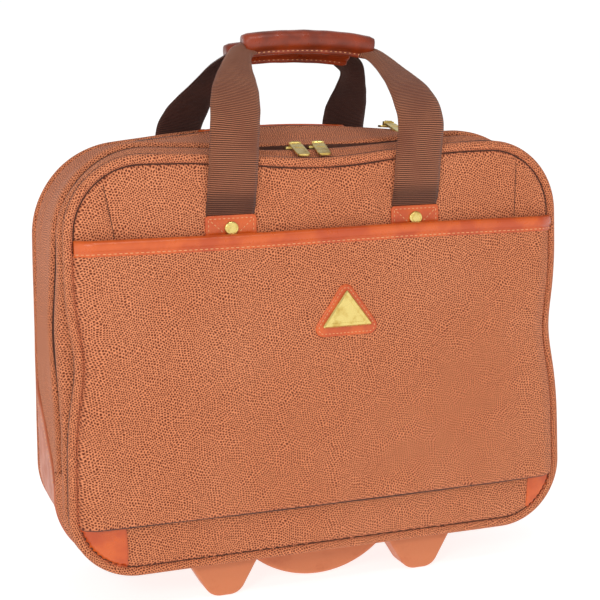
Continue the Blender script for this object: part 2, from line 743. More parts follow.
def coons(bottom, right, top, left, columns, rows):
    """A grid between four edge lines, each given from left to right or from bottom to top."""
    u, v = gathered(columns), gathered(rows)
    bottom, top, left, right = (at_shares(line, t) for line, t in
                                ((bottom, u), (top, u), (left, v), (right, v)))
    u, v = u[None, :, None], v[:, None, None]
    grid = (1 - v) * bottom[None] + v * top[None] + (1 - u) * left[:, None] + u * right[:, None]
    corners = ((1 - u) * (1 - v) * bottom[0] + u * (1 - v) * bottom[-1]
               + (1 - u) * v * top[0] + u * v * top[-1])
    return grid - corners


def panel_edges(depth, offset):
    """The seam line at one depth, cut into bottom, right, top and left at its corners."""
    ring = seam_ring(depth, offset)[0]
    bottom = np.concatenate([ring[COLUMNS - LOW_CORNER:], ring[:LOW_CORNER + 1]])
    right = ring[LOW_CORNER:TOP_CORNER + 1]
    top = ring[TOP_CORNER:COLUMNS - TOP_CORNER + 1][::-1]
    left = ring[COLUMNS - TOP_CORNER:COLUMNS - LOW_CORNER + 1][::-1]
    return bottom, right, top, left


def edge_distance(points, ring):
    """Distance in mm from each point to the seam line, seen from the front."""
    flat = np.asarray(points, float).reshape(-1, 3)[:, [0, 2]]
    line = ring[:, [0, 2]]
    best = np.full(len(flat), 1e9)
    for k in range(0, len(line), 2):
        best = np.minimum(best, ((flat - line[k]) ** 2).sum(1))
    return np.sqrt(best).reshape(np.asarray(points).shape[:-1])


SEAM_OUT = 1.9
FRONT_SEAM = seam_ring(0.0, SEAM_OUT)[0]
TAB_X = 78.5
TAB_HALF = 21.0
TAB_Z = (296.6, 314.5)


def under_tabs(x, z):
    """1 where a handle tab presses the cloth back, 0 a little outside it."""
    inside = 1 - smooth(TAB_HALF - 2.0, TAB_HALF + 2.5, np.abs(np.abs(x) - TAB_X))
    return inside * (1 - smooth(TAB_Z[1] + 0.5, TAB_Z[1] + 7, z)) * smooth(TAB_Z[0] - 14, TAB_Z[0] - 6, z)


def seated(depth, seat, x, z):
    """A panel's depth with the cloth under the handle tabs pressed to one level."""
    tabs = under_tabs(x, z)
    return depth * (1 - tabs) + seat * tabs


# (place across, half width, depth) of the hollows beside each strap and the swell between them
HOLLOWS = ((-49, 9, 1.9), (52, 9, 1.9), (-104, 8, 1.2), (108, 8, 1.2), (2, 30, -1.3))
SEAM_CREASES = ((-171.2, -0.17), (169.6, 0.057))    # place across at SEAM_FOOT, lean
PANEL_SEAMS = ((-178.5, -171.0), (172.0, 169.5))    # place across at the top and at the foot
SEAM_FOOT = 301


def front_depth(points):
    """Depth of the front panel's cloth: tucked into the seam, crowned, hollow beside the straps."""
    x, z = points[..., 0], points[..., 2]
    edge = edge_distance(points, FRONT_SEAM)
    depth = (5.2 * (1 - smooth(0.4, 4.2, edge)) + 1.4 * (1 - smooth(3, 14, edge))
             - 1.2 * smooth(5, 60, edge))
    band = smooth(296, 320, z) * (1 - smooth(338, 352, z))
    for at, width, deep in HOLLOWS:
        depth = depth + deep * bell(at, width, x) * band
    for at, lean in SEAM_CREASES:
        depth = depth + 0.8 * bell(at + lean * (z - SEAM_FOOT), 2.2, x) * smooth(286, 300, z)
    quiet = smooth(4, 20, edge)
    depth = depth + ripple(points, 52, 3) * 0.7 * quiet
    return seated(depth, 1.5, x, z)


def front_panel():
    """The front's cloth, and the dark tapes in its two upright seams."""
    grid = coons(*panel_edges(0.0, SEAM_OUT), 150, 110)
    grid[..., 1] = front_depth(grid)
    obj = grid_object("front_panel", grid, grid[..., [0, 2]])
    dress(thicken(obj, PANEL_CLOTH, even=False), SUEDE)
    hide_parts("front_panel_upper", "front_panel_lower")
    over_flap(obj)
    parts = []
    for top, low in PANEL_SEAMS:
        z = np.linspace(SEAM_FOOT, 352, 60)
        line = np.column_stack([np.interp(z, (SEAM_FOOT, 345), (low, top)), 0 * z, z])
        line = line[edge_distance(line, FRONT_SEAM) > 5.0]
        line[:, 1] = front_depth(line) - 1.75
        parts.append(sweep_parts(line, (0, 1, 0), circle_section(0.32, 8)))
    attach(dress(join_parts("panel_seams", parts), TAPE), "lid")


def cutter(x0, x1, d0, d1, z0, z1):
    """A plain box in mm."""
    corners = [(x, d, z) for x in (x0, x1) for d in (d0, d1) for z in (z0, z1)]
    faces = [[0, 1, 3, 2], [4, 6, 7, 5], [0, 4, 5, 1], [2, 3, 7, 6], [0, 2, 6, 4], [1, 5, 7, 3]]
    return new_object("cutter", corners, faces)


def carve(obj, boxes):
    """Cuts boxes out of a closed mesh."""
    tools = [cutter(*b) for b in boxes]
    for tool in tools:
        cut = obj.modifiers.new("cut", "BOOLEAN")
        cut.operation, cut.object, cut.solver = "DIFFERENCE", tool, "EXACT"
    apply_modifiers(obj)
    for tool in tools:
        mesh = tool.data
        bpy.data.objects.remove(tool)
        bpy.data.meshes.remove(mesh)


def footprint(box, gap):
    """(x0, x1, depth0, depth1) in mm of a node's box, with a gap all round."""
    low, high = box
    return (low.x / MM - gap, high.x / MM + gap,
            (low.y - FRONT_Y) / MM - gap, (high.y - FRONT_Y) / MM + gap)


def well_boxes():
    """The room that the wheel housings take, open to the back and the ground."""
    boxes = []
    for side in ("left", "right"):
        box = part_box(f"wheel_housing_{side}")
        x0, x1, front, _ = footprint(box, WELL_GAP)
        boxes.append((x0, x1, front, BACK + 20, 0, box[1].z / MM + WELL_GAP))
    return boxes


def back_panel():
    """The back's cloth, with two upright seams and its wheel wells cut out."""
    grid = coons(*panel_edges(BACK, 0.4), 130, 100)
    edge = edge_distance(grid, seam_ring(BACK, 0.4)[0])
    x, z = grid[..., 0], grid[..., 2]
    quiet = smooth(4, 20, edge)
    depth = BACK - 3.4 * (1 - smooth(0, 9, edge)) + ripple(grid, 56, 9) * 0.5 * quiet
    for at in (-55, 55):
        depth = depth - 0.7 * bell(at, 1.3, x) * smooth(0, 12, edge)
    grid[..., 1] = seated(depth, BACK - 1.6, x, z)
    obj = grid_object("back_skin", grid, grid[..., [0, 2]], flip=True)
    carve(thicken(obj, PANEL_CLOTH, even=False), well_boxes())
    dress(obj, SUEDE)
    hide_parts("back_panel")
    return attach(obj, "case")


def pressed(path, depth):
    """How far the straps push the front bead down where they cross it."""
    on_top = smooth(TOP_Z, TOP_Z + 30, path[:, 2]) * (depth < ZIP_D)
    return 1.7 * (bell(-80, 15, path[:, 0]) + bell(82, 15, path[:, 0])) * on_top


def piping_cords():
    """The fabric beads round the front and the back."""
    for name, depth, offset, radius, carved in (("front_cord", 3.6, 5.3, 3.9, False),
                                                ("back_cord", 145.5, 4.5, 4.7, True)):
        path, normal = seam_ring(depth, offset)
        across = set_back(normal, 0.0)
        path = path + across * (ripple(path, 30, 4) * 0.25 - pressed(path, depth))[:, None]
        obj = closed_sweep(name, path, across, circle_section(radius, 16))
        if carved:
            carve(obj, well_boxes())
        dress(obj, SUEDE)
        if carved:
            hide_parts("back_piping")
            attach(obj, "case")
        else:
            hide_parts("front_piping_upper", "front_piping_lower")
            over_flap(obj)


def seam_tape(name, depth, offset, radius, wander, seed):
    """Dark tape sewn in beside the front bead; it shows as a thin uneven line in the fold."""
    path, normal = seam_ring(depth, offset)
    across = set_back(normal, 0.0)
    path = path + across * (ripple(path, 55, seed) * wander - pressed(path, depth))[:, None]
    obj = closed_sweep(name, path, across, circle_section(radius, 10))
    dress(obj, TAPE)
    over_flap(obj)


def front_gusset():
    """The side wall between the front bead and the zip, rolled in beside the zip."""
    rows = [(d, 0) for d in (8.4, 9.2, 10.4, 11.2, 12, 12.7, 13.5, 14.2, 15, 16, 17.2, 18.6, 20, 22, 24,
                             26.5, 29, 31.5)]
    rows += [(33.5, 0.3), (35.2, 0.9), (36.6, 1.1), (37.6, 0.5), (37.9, -0.7), (37.4, -1.9)]
    points, uv, _ = wall_grid(rows, wrinkle=1.1, seed=2, calm=(36,))
    obj = grid_object("front_gusset", points, uv, closed=True)
    dress(thicken(obj, WALL_CLOTH), SUEDE)
    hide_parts("lid_gusset")
    return over_flap(obj)


def rear_gusset():
    """The side wall behind the zip, with welts beside the rear zip and its openings cut out."""
    rows = [(42.8, -1.9), (42.3, -0.7), (42.6, 0.5), (43.6, 1.1), (44.6, 0.9), (45.4, 0.5), (46.2, 0.2),
            (47.4, 0), (49, 0), (51, 0)]
    rows += [(d, 0) for d in range(53, 97, 4)]
    rows += [(d, 0) for d in (97.2, 98.6, 99.8, 101.0, 102.2, 104, 105.8, 107, 108.2, 109.4, 111)]
    rows += [(d, 0) for d in (115, 119, 123, 127, 131, 135, 138, 140, 141.2, 142)]
    points, uv, normals = wall_grid(rows, wrinkle=0.9, seed=6, calm=(42, 104))
    depth, x, z = points[..., 1], points[..., 0], points[..., 2]
    welt = 1.3 * (bell(99.8, 1.6, depth) + bell(108.2, 1.6, depth))
    welt = welt * (1 - smooth(126, 138, np.abs(x))) * smooth(TOP_Z, TOP_Z + 20, z)
    points[..., 0] += normals[..., 0] * welt
    points[..., 2] += normals[..., 1] * welt
    obj = grid_object("rear_gusset", points, uv, closed=True)
    thicken(obj, WALL_CLOTH)
    slot = footprint(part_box("trolley_bezel"), SLOT_GAP) + (TOP_Z, TOP_Z + 100)
    carve(obj, well_boxes() + [slot])
    dress(obj, SUEDE)
    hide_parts("main_gusset")
    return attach(obj, "case")


def zip_cover():
    """The cloth strip that carries the side wall on below the zip's two ends."""
    rows = [(31.5, -0.3), (32.2, 0.6), (33.4, 1.1), (36, 1.6), (40, 1.7), (44, 1.6), (46.6, 1.1),
            (47.8, 0.6), (48.5, -0.3)]
    points, uv, _ = wall_grid(rows, seed=3, calm=(36, 42))
    turn = FOLD_COLUMN
    points = np.roll(points, turn, axis=1)[:, :2 * turn + 1]
    uv = np.roll(uv[:, :-1], turn, axis=1)[:, :2 * turn + 1]
    uv[:, :turn, 0] -= lengths_along(wall_ring(40)[0], closed=True)[-1]
    obj = grid_object("zip_cover", points, uv)
    dress(thicken(obj, WALL_CLOTH), SUEDE)
    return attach(obj, "case")


# ---- zips ---------------------------------------------------------------
TOOTH_PITCH = 1.7
TOOTH_LENGTH = 2.3
TOOTH_R = 0.52


def tooth_parts(path, normal, across):
    """A zip coil's turns: short rounded bars side by side along a line."""
    total = lengths_along(path)
    ring = np.linspace(0, 2 * math.pi, 6, endpoint=False)
    parts = []
    for at in np.arange(TOOTH_PITCH / 2, total[-1], TOOTH_PITCH):
        spot = points_at(path, total, at)
        up = unit(points_at(normal, total, at))
        along = unit(np.cross(across, up))
        rings = []
        for reach, size in ((-0.5, 0.7), (-0.36, 1.0), (0.36, 1.0), (0.5, 0.7)):
            mid = spot + across * reach * TOOTH_LENGTH
            rings.append([mid + size * TOOTH_R * (math.cos(a) * along + math.sin(a) * up) for a in ring])
        rings = np.array(rings)
        uv = uv_grid(np.arange(7) * TOOTH_R, np.full((4, 1), at))
        p, f, c = grid_parts(rings, uv, closed=True, flip=True)
        cap_ends(f, c, uv)
        parts.append((p, f, c))
    return parts


def zip_row(name, depth, extra, columns):
    """One side's coil turns between two columns of the side wall."""
    line, normal = wall_ring(depth, extra)
    up = set_back(normal, 0.0)
    first, last = columns
    obj = join_parts(name, tooth_parts(line[first:last], up[first:last], np.array([0.0, 1.0, 0.0])))
    return dress(obj, COIL)


def zip_band(name, rows, columns):
    """Zip tape between two columns of the side wall."""
    points, uv, _ = wall_grid(rows, wrinkle=0.0)
    obj = grid_object(name, points, uv, closed=True, keep=column_mask(*columns, len(rows)))
    return dress(thicken(obj, TAPE_CLOTH), TAPE)


def main_zip():
    """The zip that opens the flap. Its rear tape stands up a little, most at the crown."""
    front = zip_band("zip_tape_front", [(35.4, -1.6), (37, -0.9), (38.6, -0.2), (39.7, -0.1)], FLAP_COLUMNS)
    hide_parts("lid_zip_tape")
    over_flap(front)
    line = wall_ring(ZIP_D)[0]
    stand = np.clip(0.3 + 1.2 * ripple(line, 60, 14), 0.1, 1.2) + 2.6 * crown_share(62)
    rear = zip_band("zip_tape_rear", [(40.3, -0.1), (40.9, 0.0), (41.4, 0.4 * stand), (41.6, stand),
                                      (41.75, 1.4 * stand)], FLAP_COLUMNS)
    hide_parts("case_zip_tape")
    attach(rear, "case")
    over_flap(zip_row("zip_coil_front", 39.1, 0.6, FLAP_COLUMNS))
    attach(zip_row("zip_coil_rear", 40.6, 0.3, FLAP_COLUMNS), "case")


def top_columns(reach, depth):
    """The first and last column on the crown within reach of the middle."""
    line = wall_ring(depth)[0]
    inside = np.where((np.abs(line[:, 0]) <= reach) & (line[:, 2] > TOP_Z))[0]
    return int(inside[0]), int(inside[-1])


def back_zip():
    """The rear compartment's short zip over the top."""
    columns = top_columns(134, 104)
    rows = [(101, 0.5), (102.6, 0.7), (104, 0.75), (105.4, 0.7), (107, 0.5)]
    tape = zip_band("rear_zip_tape", rows, columns)
    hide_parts("rear_zip")
    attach(tape, "case")
    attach(zip_row("rear_zip_coil_a", 103.2, 1.0, columns), "case")
    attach(zip_row("rear_zip_coil_b", 104.8, 1.0, columns), "case")


# ---- front pocket -------------------------------------------------------
BIND_Z = 288.0


def seam_x(z):
    """Half width of the front seam at a height between the corners."""
    right = FRONT_SEAM[SEGMENTS[0]:sum(SEGMENTS[:5])]
    return np.interp(z, right[:, 2], right[:, 0])


def pocket_depth(x, z):
    """Depth of the filled-out pocket panel, sewn down at its sides."""
    edge = seam_x(z) - np.abs(x)
    fullness = 7.6 + 2.2 * bell(175, 95, z) * bell(0, 170, x)
    return 3.6 - 6.2 * smooth(0.2, 4.6, edge) - (fullness - 2.6) * smooth(1, 15, edge)


def pocket():
    """The front pocket with its turned hem, and the dark tape that shows under the hem."""
    heights = np.concatenate([[83, 78.6, 76.6, 75.7, 75.6, 76.3, 77.6, 79.5], np.linspace(82, 291, 64)])
    inward = np.concatenate([[3.0, 3.0, 2.6, 1.6, 0.7, 0.1, 0.0, 0.0], np.zeros(64)])
    across = 2 * gathered(150) - 1
    z = np.repeat(heights[:, None], len(across), axis=1)
    z = z + 1.0 * (across[None] ** 2) * (1 - smooth(80, 120, z))
    x = across[None] * (seam_x(z) - 0.2)
    points = np.stack([x, pocket_depth(x, np.maximum(z, 80)) + inward[:, None], z], axis=-1)
    quiet = smooth(8, 60, seam_x(z) - np.abs(x)) * (1 - smooth(262, 286, z))
    crease = 0.7 * bell(0, 4, (x - 70) + (z - 150) * 0.75) * bell(150, 45, z)
    points[..., 1] += quiet * (ripple(points, 95, 11) * 1.0 + ripple(points, 26, 12) * 0.15 + crease)
    run = lengths_along(points[:, len(across) // 2])
    obj = grid_object("front_pocket", points, uv_grid(x, run[:, None]))
    dress(thicken(obj, POCKET_CLOTH), SUEDE)
    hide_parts("pocket_panel", "pocket_hem")
    over_flap(obj)
    reach = across[2:-2]
    hem_z = points[4, 2:-2, 2] - 1.0 - 0.5 * bell(0.15, 0.5, reach)
    hem = np.column_stack([points[4, 2:-2, 0], points[4, 2:-2, 1] + 1.4, hem_z])
    hem[:, 2] += ripple(hem, 50, 19) * 0.5
    tape = join_parts("pocket_hem_tape", [sweep_parts(hem, (0, 1, 0), circle_section(1.8, 10))])
    dress(tape, TAPE)
    over_flap(tape)


# The binding's section from its lower lip round the roll: how far it stands out, and how high.
BIND_OUT = (-1.5, 2.2, 3.0, 3.3, 3.0, 4.2, 5.2, 5.5, 4.9, 3.0, 0.5, -1.4, -2.3, -2.4, -2.2)
BIND_UP = (0.0, 0.0, 0.7, 2.2, 3.9, 4.8, 6.6, 8.9, 11.0, 12.2, 12.6, 11.8, 9.6, 5.0, 1.0)


def bind_line(x, out, up):
    """A point on the binding's roll at one place across the bag."""
    z = BIND_Z + up
    edge = seam_x(z) - np.abs(x)
    base = 1.6 - 8.4 * smooth(-3, 14, edge) ** 0.8
    droop = 0.5 * np.sin(x / 46.0)
    return np.stack([x, base - out, z + droop], axis=-1)


def binding():
    """The rolled leather binding over the pocket's mouth, stitched along its lip."""
    x = np.linspace(-1, 1, 130) * (float(seam_x(294.0)) - 0.3)
    section = resample(spline(np.column_stack([BIND_OUT, BIND_UP]), 60), count=30)
    points = np.array([[bind_line(a, o, u) for o, u in section] for a in x])
    points[..., 1] += ripple(points, 38, 15) * 0.3
    uv = uv_grid(x[:, None], lengths_along(section, closed=True))
    p, f, c = grid_parts(points, uv, closed=True, flip=True)
    cap_ends(f, c, uv, -1)
    obj = new_object("pocket_roll", p, f, c)
    dress(obj, LEATHER)
    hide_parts("pocket_binding")
    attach(obj, "lid")
    line = bind_line(x, 3.5, 2.2)
    line[:, 1] += ripple(line, 38, 15) * 0.3
    stitches("pocket_roll_stitches", stitch_parts(line, (0, -1, 0)), "lid")


# ---- leather trims ------------------------------------------------------
ARC_POINTS = 10


def rounded_loop(corners, radius, inset=0.0):
    """A counter-clockwise polygon with rounded corners, drawn in by inset, as (x, z) points."""
    pts = np.asarray(corners, float)
    size = max(radius - inset, 0.01)
    loop = []
    for a, b, c in zip(np.roll(pts, 1, 0), pts, np.roll(pts, -1, 0)):
        u, v = unit(a - b), unit(c - b)
        half = math.acos(float(np.clip(u @ v, -1, 1))) / 2
        centre = b + unit(u + v) * max(radius, inset) / math.sin(half)
        start = math.atan2(u[0], -u[1])
        turn = (math.atan2(-v[0], v[1]) - start) % (2 * math.pi)
        for t in np.linspace(0, 1, ARC_POINTS):
            loop.append(centre + size * np.array([math.cos(start + turn * t), math.sin(start + turn * t)]))
    return np.array(loop)


def spread_loop(loop, count):
    """The same closed loop with evenly spaced points."""
    closed = np.vstack([loop, loop[:1]])
    return resample(closed, count=count + 1)[:-1]


def pad_object(name, corners, radius, profile, count=96, flip=False):
    """A patch built from nested loops. profile is (inset, depth) from its back rim to its middle."""
    base = [rounded_loop(corners, radius, inset) for inset, _ in profile]
    first = spread_loop(base[0], count)
    centre = first.mean(0)
    rows = []
    for loop, (_, depth) in zip(base, profile):
        ray = unit(first - centre)
        dense = resample(np.vstack([loop, loop[:1]]), count=900)
        angle = np.arctan2(dense[:, 1] - centre[1], dense[:, 0] - centre[0])
        order = np.argsort(angle)
        want = np.arctan2(ray[:, 1], ray[:, 0])
        reach = np.interp(want, angle[order], np.hypot(*(dense - centre).T)[order], period=2 * math.pi)
        ring = centre + ray * reach[:, None]
        rows.append(set_back(ring, depth))
    rows = np.array(rows)
    uv = np.concatenate([rows, rows[:, :1]], axis=1)[..., [0, 2]]
    p, f, c = grid_parts(rows, uv, closed=True, flip=flip)
    for row, order in ((0, 1), (len(rows) - 1, -1)):
        middle = len(p)
        p = np.vstack([p, rows[row].mean(0)])
        for k in range(count):
            corner = [row * count + k, row * count + (k + 1) % count, middle]
            spots = [uv[row, k], uv[row, k + 1], rows[row].mean(0)[[0, 2]]]
            turn = order * (-1 if flip else 1)
            f.append(corner[::turn])
            c.extend(spots[::turn])
    return new_object(name, p, f, c)


def tab_stitches(side, face, outward):
    """Thread round three edges of a handle tab and on two slants beside its rivet."""
    x, (low, high) = side * TAB_X, TAB_Z
    inner, base, crest = TAB_HALF - 2.6, low + 4.5, high - 2.6
    runs = [[(-inner, base), (-inner, crest)], [(-inner, crest), (inner, crest)],
            [(inner, crest), (inner, base)],
            [(-inner + 1.5, crest - 1.5), (-6.6, base)], [(inner - 1.5, crest - 1.5), (6.6, base)]]
    parts = []
    for n, ((x0, z0), (x1, z1)) in enumerate(runs):
        level = face + outward * (0.45 if n > 2 else 0.0)
        line = resample([(x + x0, level, z0), (x + x1, level, z1)], count=12)
        parts += stitch_parts(line, (0, outward, 0), 2.2, 1.2, 0.36)
    return parts


def handle_tabs():
    """The four leather tabs that the carry handles are sewn under."""
    sets = (("front", "lid", -1.0, -2.75, -1, False), ("rear", "case", 151.0, 152.75, 1, True))
    for name, body, back, face, outward, flip in sets:
        parts = []
        for side, word in ((-1, "left"), (1, "right")):
            x, (low, high) = side * TAB_X, TAB_Z
            corners = [(x - TAB_HALF, low), (x + TAB_HALF, low), (x + TAB_HALF, high), (x - TAB_HALF, high)]
            rim = face - back
            profile = [(0.3, back), (0, back + 0.3 * rim), (0, back + 0.7 * rim), (0.3, face - 0.1 * rim),
                       (0.9, face), (2.0, face - 0.02 * rim), (2.6, face - 0.12 * rim), (3.3, face),
                       (5.5, face + 0.1 * rim)]
            tab = pad_object(f"{name}_tab_{word}", corners, 3.0, profile, flip=flip)
            dress(tab, LEATHER)
            if side < 0:
                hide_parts(f"{name}_tabs")
            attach(tab, body)
            parts += tab_stitches(side, face - 0.1 * rim, outward)
        stitches(f"{name}_tab_stitches", parts, body)


BADGE_X = 13.5
BADGE_Z = 213.0


def badge():
    """The stitched leather triangle behind the metal badge."""
    corners = [(BADGE_X - 33, BADGE_Z), (BADGE_X + 33, BADGE_Z), (BADGE_X, BADGE_Z + 47)]
    profile = [(0.6, -8.6), (0, -9.4), (0, -10.9), (0.35, -11.6), (1.0, -12.0), (1.9, -12.05), (2.6, -11.85),
               (3.4, -12.1), (4.6, -12.35), (6.5, -12.45), (9, -12.45)]
    pad = pad_object("badge_pad", corners, 7.0, profile, 150)
    dress(pad, LEATHER)
    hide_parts("badge_patch")
    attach(pad, "lid")
    loop = spread_loop(rounded_loop(corners, 7.0, 2.6), 160)
    line = set_back(np.vstack([loop, loop[:1]]), -11.95)
    stitches("badge_stitches", stitch_parts(line, (0, -1, 0), 2.1, 1.1, 0.36), "lid")


def corner_leathers():
    """The leather patches over the two lower front corners."""
    for side, inner, word in ((-1, 171.0, "left"), (1, 183.0, "right")):
        right = FRONT_SEAM[:sum(SEGMENTS[:3])]
        low = float(np.interp(inner + 2.0, right[:, 0], right[:, 2]))
        rows = np.linspace(low, 82.0, 26)
        bound = np.interp(rows, right[SEGMENTS[0]:, 2], right[SEGMENTS[0]:, 0])
        t = np.linspace(0, 1, 22)
        x = inner + (bound[:, None] - inner) * t[None]
        x[:, 0] += 0.8 * np.sin(rows / 11.0)
        z = np.repeat(rows[:, None], len(t), axis=1)
        points = np.stack([side * x, np.zeros_like(x), z], axis=-1)
        points[..., 1] = front_depth(points) - 1.3 - 0.25 * smooth(0, 0.12, t)[None]
        obj = grid_object(f"corner_leather_{word}", points, points[..., [0, 2]], flip=side < 0)
        dress(thicken(obj, 1.0), LEATHER)
        if side < 0:
            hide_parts("corner_patches")
        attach(obj, "case")


GUARD_FRONT = 48.0              # depth of the side guard's front edge
GUARD_Z = 100.0                 # height of its top edge there
GUARD_RISE = 74.0               # how far that edge rises over GUARD_RUN
GUARD_RUN = 91.0


def guard_line(depth):
    """Height of the side guard's top edge at one depth."""
    return GUARD_Z + (depth - GUARD_FRONT) * GUARD_RISE / GUARD_RUN


def side_leathers():
    """The smooth guards low on both sides, stitched along their top edge."""
    depths = np.concatenate([[GUARD_FRONT, 48.6, 50], np.arange(54, 136, 4), [137.4, 138.8, 139.4]])
    stitch_sets = []
    for side, word in ((-1, "left"), (1, "right")):
        rows, edge_line = [], []
        for n, d in enumerate(depths):
            half = wall_ring(d, 1.5 if 0 < n < len(depths) - 1 else -0.6)[0][:HALF_COUNT]
            first = int(np.argmax(half[:, 0] > 168.5))
            last = int(np.argmax((half[:, 2] > guard_line(d)) & (half[:, 0] > 190)))
            part = resample(half[first:last + 1], count=46)
            part[-1, 2] = guard_line(d)
            part[[0, -1], 0] -= 1.6
            part[:, 0] *= side
            rows.append(part)
            edge_line.append(part[-4])
        rows = np.array(rows)
        uv = uv_grid(lengths_along(rows[len(rows) // 2]), depths[:, None])
        obj = grid_object(f"side_guard_{word}", rows, uv, flip=side < 0)
        dress(thicken(obj, LEATHER_SHEET), GUARD)
        if side < 0:
            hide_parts("side_guards")
        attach(obj, "case")
        stitch_sets += stitch_parts(np.array(edge_line)[3:-3], (side, 0, 0.1))
    stitches("side_guard_stitches", stitch_sets, "case")


def bezel_trim():
    """A leather welt round the opening that the pull handle stands in."""
    x0, x1, d0, d1 = footprint(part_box("trolley_bezel"), 1.2)
    loop = spread_loop(rounded_loop([(x0, d0), (x1, d0), (x1, d1), (x0, d1)], 8.5), 120)
    path = []
    for x, d in loop:
        line = wall_ring(d)[0]
        top = line[line[:, 2] > TOP_Z]
        order = np.argsort(top[:, 0])
        path.append((x, d, float(np.interp(x, top[order, 0], top[order, 2])) + 0.6))
    obj = closed_sweep("handle_slot_welt", path, (0, 0, 1), circle_section(1.9, 10))
    dress(obj, LEATHER)
    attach(obj, "case")


# ---- carry handles ------------------------------------------------------
STRAP_WIDTH = 40.0
STRAP_THICK = 2.5
STRAP_TOP = 20.0                # width where a strap enters its grip


def strap(name, points, fold, cloth):
    """A ribbed webbing strap along a line, folding lengthwise where it enters the grip."""
    path = resample(spline(points, 400), step=0.6)
    run = lengths_along(path)
    end = run[-1]
    side, level = strip_section(STRAP_WIDTH, STRAP_THICK, 26).T[:, None]
    narrow = smooth(end - 92, end - 10, run)[:, None]
    width = 1 + (STRAP_TOP / STRAP_WIDTH - 1) * narrow
    rib = 0.2 * np.sin(run * 2 * math.pi / RIB_PITCH)[:, None]
    across = side * width
    across = across * (1 + 0.006 * np.sin(run / 3.1)[:, None])
    share = side / (STRAP_WIDTH / 2)
    curl = share ** 2 * fold * smooth(end - 80, end - 4, run)[:, None]
    cup = 0.8 * share ** 2 * np.sin(run / 37.0)[:, None]
    out = level + np.sign(level) * rib + curl + cup
    section = np.stack([across, out], axis=-1)
    obj = join_parts(name, [sweep_parts(path, (1.0, 0.0, 0.0), section)])
    dress(obj, cloth)
    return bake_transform(obj)


def straps():
    """The two webbing loops. Each line runs from its tab up to the grip."""
    front = {
        "left": [(-78.5, -0.1, 298), (-78.5, -0.2, 308), (-78.5, -1.0, 315.5), (-78.3, -3.6, 322),
                 (-77.8, -5.4, 332), (-76, -5.8, 352), (-73.4, -4.0, 384), (-67.5, 12, 409),
                 (-57, 40, 430.5), (-47, 60, 443), (-38, 68, 447)],
        "right": [(78.5, -0.1, 298), (78.5, -0.2, 308), (78.5, -1.0, 315.5), (78.7, -3.6, 322),
                  (79.2, -5.4, 332), (80.8, -5.8, 352), (83.6, -4.0, 384), (81.5, 13, 407),
                  (76.5, 41, 427), (71, 59, 438.5), (63, 68, 443)],
    }
    rear = {
        "left": [(-78.5, 150.6, 298), (-78.5, 150.8, 308), (-78.5, 151.6, 315.5), (-78.5, 154.0, 322),
                 (-78.5, 155.8, 332), (-78.3, 156.4, 352), (-77, 154.5, 374), (-72.5, 142, 391),
                 (-66, 118, 411), (-58.5, 97, 429), (-46, 86, 439)],
        "right": [(78.5, 150.6, 298), (78.5, 150.8, 308), (78.5, 151.6, 315.5), (78.5, 154.0, 322),
                  (78.5, 155.8, 332), (78.5, 156.4, 352), (78, 154.5, 374), (75.5, 142, 391),
                  (70, 118, 411), (63, 97, 429), (50, 86, 439)],
    }
    for word, points in front.items():
        obj = strap(f"front_strap_{word}", points, 5.0, STRAP)
        if word == "left":
            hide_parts("front_webbing")
    for word, points in rear.items():
        obj = strap(f"rear_strap_{word}", points, -5.0, STRAP_DARK)
        if word == "left":
            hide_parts("rear_webbing")


# Half of a grip's section, from the top round to the sewn fin below.
GRIP_OUT = (0, 3.6, 6.6, 8.4, 9.0, 8.5, 6.9, 4.4, 2.5, 2.0, 1.9, 0.9)
GRIP_UP = (9.4, 9.0, 7.6, 5.0, 1.8, -1.4, -4.0, -5.6, -6.6, -8.0, -9.6, -10.2)


def grip(name, spine, lean, node, body):
    """A leather sleeve sewn shut along a narrow fin under the hand."""
    half = np.column_stack([GRIP_OUT, GRIP_UP])
    shape = np.vstack([half, (half * (-1, 1))[::-1][:-1]])
    fin = smooth(-3, -8, shape[:, 1])
    shape[:, 0] += lean * fin
    section = spread_loop(shape, 44)
    path = resample(spline(spine, 200), count=96)
    run = lengths_along(path)
    t = run / run[-1]
    flare = 1 - 0.10 * (1 - smooth(0, 0.035, t)) - 0.10 * smooth(0.965, 1, t)
    crease = 1 + 0.014 * np.sin(t * 31) * bell(0.5, 0.28, t) + 0.012 * ripple(path, 14, 21)
    rows = section[None] * (flare * crease)[:, None, None]
    obj = join_parts(name, [sweep_parts(path, (0.0, 1.0, 0.0), rows)])
    dress(obj, GRIP_LEATHER)
    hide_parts(node)
    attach(obj, body)
    parts = []
    for face in (-1, 1):
        line = path[5:-5] + np.array([0, lean + face * 2.0, -7.6])
        parts += stitch_parts(line, (0, face, 0), radius=0.4)
    stitches(f"{name}_stitches", parts, body)


def grips():
    """The grips, each along its own line over the straps' ends."""
    front = [(-43, 66, 446.2), (-20, 66.2, 448.3), (13, 66.5, 448.8), (45, 66.2, 446.6), (69.5, 66, 442.6)]
    rear = [(-52, 86, 438.6), (-25, 86.2, 441.2), (2, 86.4, 441.8), (30, 86.2, 440.8), (56, 86, 437.8)]
    grip("front_grip_sleeve", front, -1.5, "front_grip", "front_handle")
    grip("rear_grip_sleeve", rear, 1.5, "rear_grip", "rear_handle")


# ---- inside -------------------------------------------------------------
LINING_IN = -4.8
LINING_BACK = 110.8


